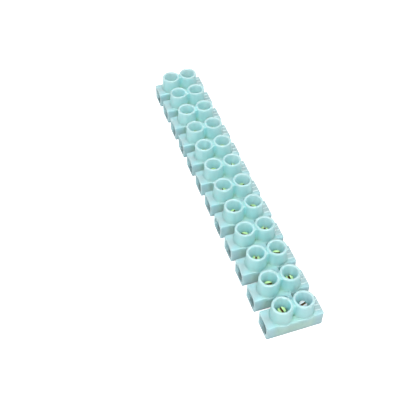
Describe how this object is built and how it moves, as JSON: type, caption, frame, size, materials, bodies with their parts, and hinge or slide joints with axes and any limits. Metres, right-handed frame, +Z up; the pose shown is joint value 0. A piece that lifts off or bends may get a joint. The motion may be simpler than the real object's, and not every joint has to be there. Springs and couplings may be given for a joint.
{
  "type": "screw terminal strip",
  "caption": "Flexible translucent screw terminal strip: tubular brass terminals in one moulded row, clamped by slotted headless screws down open towers, with fixing holes in the webs.",
  "frame": {"origin": "middle of the flat base, under the web between the two middle poles", "axes": "+X along the wires, towards the ends with the raised bars; +Y along the strip, towards the higher pole numbers; +Z up, out of the towers"},
  "size_m": [0.0178, 0.1176, 0.0109],
  "materials": {
    "polyethylene": "natural polyethylene, moulded, milky and translucent with a satin surface and a pale mint cast",
    "terminal_brass": "turned and drilled brass tube, bright",
    "plated_screw": "headless steel screw with a pale yellow zinc plating"
  },
  "bodies": {
    "strip": {"housing": "polyethylene", "barrel_01": "terminal_brass", "barrel_02": "terminal_brass", "barrel_03": "terminal_brass", "barrel_04": "terminal_brass", "barrel_05": "terminal_brass", "barrel_06": "terminal_brass", "barrel_07": "terminal_brass", "barrel_08": "terminal_brass", "barrel_09": "terminal_brass", "barrel_10": "terminal_brass", "barrel_11": "terminal_brass", "barrel_12": "terminal_brass"},
    "clamp_01_a": {"screw_01_a": "plated_screw"},
    "clamp_01_b": {"screw_01_b": "plated_screw"},
    "clamp_02_a": {"screw_02_a": "plated_screw"},
    "clamp_02_b": {"screw_02_b": "plated_screw"},
    "clamp_03_a": {"screw_03_a": "plated_screw"},
    "clamp_03_b": {"screw_03_b": "plated_screw"},
    "clamp_04_a": {"screw_04_a": "plated_screw"},
    "clamp_04_b": {"screw_04_b": "plated_screw"},
    "clamp_05_a": {"screw_05_a": "plated_screw"},
    "clamp_05_b": {"screw_05_b": "plated_screw"},
    "clamp_06_a": {"screw_06_a": "plated_screw"},
    "clamp_06_b": {"screw_06_b": "plated_screw"},
    "clamp_07_a": {"screw_07_a": "plated_screw"},
    "clamp_07_b": {"screw_07_b": "plated_screw"},
    "clamp_08_a": {"screw_08_a": "plated_screw"},
    "clamp_08_b": {"screw_08_b": "plated_screw"},
    "clamp_09_a": {"screw_09_a": "plated_screw"},
    "clamp_09_b": {"screw_09_b": "plated_screw"},
    "clamp_10_a": {"screw_10_a": "plated_screw"},
    "clamp_10_b": {"screw_10_b": "plated_screw"},
    "clamp_11_a": {"screw_11_a": "plated_screw"},
    "clamp_11_b": {"screw_11_b": "plated_screw"},
    "clamp_12_a": {"screw_12_a": "plated_screw"},
    "clamp_12_b": {"screw_12_b": "plated_screw"}
  },
  "joints": [
    {"name": "drive_01_a", "type": "slide", "parent": "strip", "child": "clamp_01_a", "axis": [0, 0, -1], "range_m": [0, 0.0029]},
    {"name": "drive_01_b", "type": "slide", "parent": "strip", "child": "clamp_01_b", "axis": [0, 0, -1], "range_m": [0, 0.00275]},
    {"name": "drive_02_a", "type": "slide", "parent": "strip", "child": "clamp_02_a", "axis": [0, 0, -1], "range_m": [0, 0.0024]},
    {"name": "drive_02_b", "type": "slide", "parent": "strip", "child": "clamp_02_b", "axis": [0, 0, -1], "range_m": [0, 0.0024]},
    {"name": "drive_03_a", "type": "slide", "parent": "strip", "child": "clamp_03_a", "axis": [0, 0, -1], "range_m": [0, 0.0024]},
    {"name": "drive_03_b", "type": "slide", "parent": "strip", "child": "clamp_03_b", "axis": [0, 0, -1], "range_m": [0, 0.0024]},
    {"name": "drive_04_a", "type": "slide", "parent": "strip", "child": "clamp_04_a", "axis": [0, 0, -1], "range_m": [0, 0.0024]},
    {"name": "drive_04_b", "type": "slide", "parent": "strip", "child": "clamp_04_b", "axis": [0, 0, -1], "range_m": [0, 0.0024]},
    {"name": "drive_05_a", "type": "slide", "parent": "strip", "child": "clamp_05_a", "axis": [0, 0, -1], "range_m": [0, 0.0024]},
    {"name": "drive_05_b", "type": "slide", "parent": "strip", "child": "clamp_05_b", "axis": [0, 0, -1], "range_m": [0, 0.0024]},
    {"name": "drive_06_a", "type": "slide", "parent": "strip", "child": "clamp_06_a", "axis": [0, 0, -1], "range_m": [0, 0.0024]},
    {"name": "drive_06_b", "type": "slide", "parent": "strip", "child": "clamp_06_b", "axis": [0, 0, -1], "range_m": [0, 0.0024]},
    {"name": "drive_07_a", "type": "slide", "parent": "strip", "child": "clamp_07_a", "axis": [0, 0, -1], "range_m": [0, 0.0024]},
    {"name": "drive_07_b", "type": "slide", "parent": "strip", "child": "clamp_07_b", "axis": [0, 0, -1], "range_m": [0, 0.0024]},
    {"name": "drive_08_a", "type": "slide", "parent": "strip", "child": "clamp_08_a", "axis": [0, 0, -1], "range_m": [0, 0.0024]},
    {"name": "drive_08_b", "type": "slide", "parent": "strip", "child": "clamp_08_b", "axis": [0, 0, -1], "range_m": [0, 0.0024]},
    {"name": "drive_09_a", "type": "slide", "parent": "strip", "child": "clamp_09_a", "axis": [0, 0, -1], "range_m": [0, 0.0024]},
    {"name": "drive_09_b", "type": "slide", "parent": "strip", "child": "clamp_09_b", "axis": [0, 0, -1], "range_m": [0, 0.0024]},
    {"name": "drive_10_a", "type": "slide", "parent": "strip", "child": "clamp_10_a", "axis": [0, 0, -1], "range_m": [0, 0.0024]},
    {"name": "drive_10_b", "type": "slide", "parent": "strip", "child": "clamp_10_b", "axis": [0, 0, -1], "range_m": [0, 0.0024]},
    {"name": "drive_11_a", "type": "slide", "parent": "strip", "child": "clamp_11_a", "axis": [0, 0, -1], "range_m": [0, 0.0024]},
    {"name": "drive_11_b", "type": "slide", "parent": "strip", "child": "clamp_11_b", "axis": [0, 0, -1], "range_m": [0, 0.0024]},
    {"name": "drive_12_a", "type": "slide", "parent": "strip", "child": "clamp_12_a", "axis": [0, 0, -1], "range_m": [0, 0.0024]},
    {"name": "drive_12_b", "type": "slide", "parent": "strip", "child": "clamp_12_b", "axis": [0, 0, -1], "range_m": [0, 0.0024]}
  ]
}
